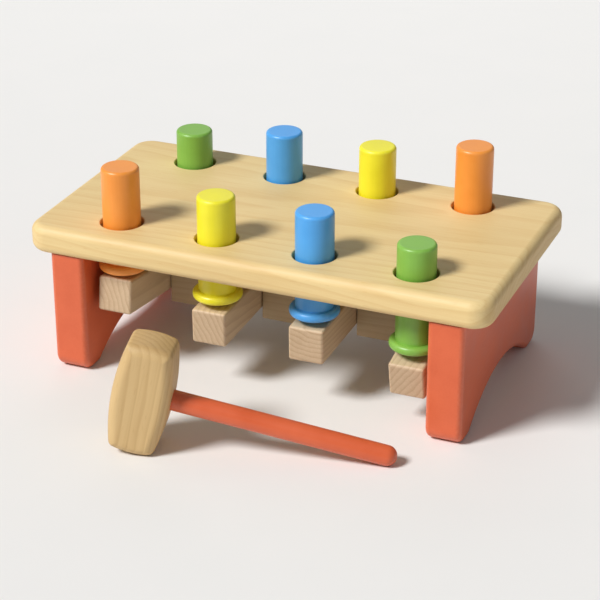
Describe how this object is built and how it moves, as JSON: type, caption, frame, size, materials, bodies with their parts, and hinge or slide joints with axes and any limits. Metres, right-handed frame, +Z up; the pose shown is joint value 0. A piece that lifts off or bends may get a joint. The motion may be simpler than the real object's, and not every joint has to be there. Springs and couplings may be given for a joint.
{
  "type": "peg pounding bench",
  "caption": "Wooden toy bench whose painted pegs stand in pairs on rocker bars, so that knocking one down with the mallet lifts its partner.",
  "frame": {"origin": "on the floor, at the middle of the footprint of bench and mallet", "axes": "+X along the bench, to the right seen from the front; +Y to the rear; +Z up"},
  "size_m": [0.266, 0.2178, 0.1221],
  "materials": {
    "plank_wood": "clear satin lacquer on light solid wood",
    "rail_wood": "plain sanded wood",
    "rocker_wood": "plain sanded wood",
    "dowel_wood": "plain hardwood dowel, glued",
    "mallet_wood": "clear satin lacquer on light solid wood",
    "red_paint": "red-orange satin water paint on wood",
    "orange_paint": "orange satin water paint on wood",
    "yellow_paint": "yellow satin water paint on wood",
    "blue_paint": "blue satin water paint on wood",
    "green_paint": "green satin water paint on wood",
    "axle_steel": "drawn steel rod"
  },
  "bodies": {
    "bench": {"bench_top": "plank_wood", "left_leg": "red_paint", "right_leg": "red_paint", "pivot_rail": "rail_wood", "pivot_axle": "axle_steel", "leg_dowels": "dowel_wood", "rail_dowels": "dowel_wood"},
    "rocker_1": {"rocker_1": "rocker_wood"},
    "front_peg_1": {"peg_front_1": "orange_paint"},
    "rear_peg_1": {"peg_rear_1": "green_paint"},
    "rocker_2": {"rocker_2": "rocker_wood"},
    "front_peg_2": {"peg_front_2": "yellow_paint"},
    "rear_peg_2": {"peg_rear_2": "blue_paint"},
    "rocker_3": {"rocker_3": "rocker_wood"},
    "front_peg_3": {"peg_front_3": "blue_paint"},
    "rear_peg_3": {"peg_rear_3": "yellow_paint"},
    "rocker_4": {"rocker_4": "rocker_wood"},
    "front_peg_4": {"peg_front_4": "green_paint"},
    "rear_peg_4": {"peg_rear_4": "orange_paint"},
    "mallet": {"mallet_head": "mallet_wood", "mallet_handle": "red_paint"}
  },
  "joints": [
    {"name": "front_peg_1_slide", "type": "slide", "parent": "bench", "child": "front_peg_1", "axis": [0, 0, 1], "range_m": [-0.018, 0.006]},
    {"name": "rocker_1_tilt", "type": "hinge", "parent": "bench", "child": "rocker_1", "pos_m": [-0.0855, 0.03687, 0.03897], "axis": [1, 0, 0], "range_deg": [-7.16, 21.48]},
    {"name": "rear_peg_1_slide", "type": "slide", "parent": "bench", "child": "rear_peg_1", "axis": [0, 0, 1], "range_m": [-0.006, 0.018]},
    {"name": "front_peg_2_slide", "type": "slide", "parent": "bench", "child": "front_peg_2", "axis": [0, 0, 1], "range_m": [-0.01056, 0.01344]},
    {"name": "rocker_2_tilt", "type": "hinge", "parent": "bench", "child": "rocker_2", "pos_m": [-0.0285, 0.03687, 0.03897], "axis": [1, 0, 0], "range_deg": [-16.04, 12.6]},
    {"name": "rear_peg_2_slide", "type": "slide", "parent": "bench", "child": "rear_peg_2", "axis": [0, 0, 1], "range_m": [-0.01344, 0.01056]},
    {"name": "front_peg_3_slide", "type": "slide", "parent": "bench", "child": "front_peg_3", "axis": [0, 0, 1], "range_m": [-0.01104, 0.01296]},
    {"name": "rocker_3_tilt", "type": "hinge", "parent": "bench", "child": "rocker_3", "pos_m": [0.0285, 0.03687, 0.03897], "axis": [1, 0, 0], "range_deg": [-15.47, 13.18]},
    {"name": "rear_peg_3_slide", "type": "slide", "parent": "bench", "child": "rear_peg_3", "axis": [0, 0, 1], "range_m": [-0.01296, 0.01104]},
    {"name": "front_peg_4_slide", "type": "slide", "parent": "bench", "child": "front_peg_4", "axis": [0, 0, 1], "range_m": [-0.0024, 0.0216]},
    {"name": "rocker_4_tilt", "type": "hinge", "parent": "bench", "child": "rocker_4", "pos_m": [0.0855, 0.03687, 0.03897], "axis": [1, 0, 0], "range_deg": [-25.78, 2.86]},
    {"name": "rear_peg_4_slide", "type": "slide", "parent": "bench", "child": "rear_peg_4", "axis": [0, 0, 1], "range_m": [-0.0216, 0.0024]},
    {"name": "mallet_lift", "type": "slide", "parent": "bench", "child": "mallet", "axis": [0, 0, 1], "range_m": [0, 0.12]}
  ],
  "couplings": [
    {"joint": "rocker_1_tilt", "follows": "front_peg_1_slide", "rad_per_m": -20.832},
    {"joint": "rear_peg_1_slide", "follows": "front_peg_1_slide", "ratio": -1},
    {"joint": "rocker_2_tilt", "follows": "front_peg_2_slide", "rad_per_m": -20.832},
    {"joint": "rear_peg_2_slide", "follows": "front_peg_2_slide", "ratio": -1},
    {"joint": "rocker_3_tilt", "follows": "front_peg_3_slide", "rad_per_m": -20.832},
    {"joint": "rear_peg_3_slide", "follows": "front_peg_3_slide", "ratio": -1},
    {"joint": "rocker_4_tilt", "follows": "front_peg_4_slide", "rad_per_m": -20.832},
    {"joint": "rear_peg_4_slide", "follows": "front_peg_4_slide", "ratio": -1}
  ]
}
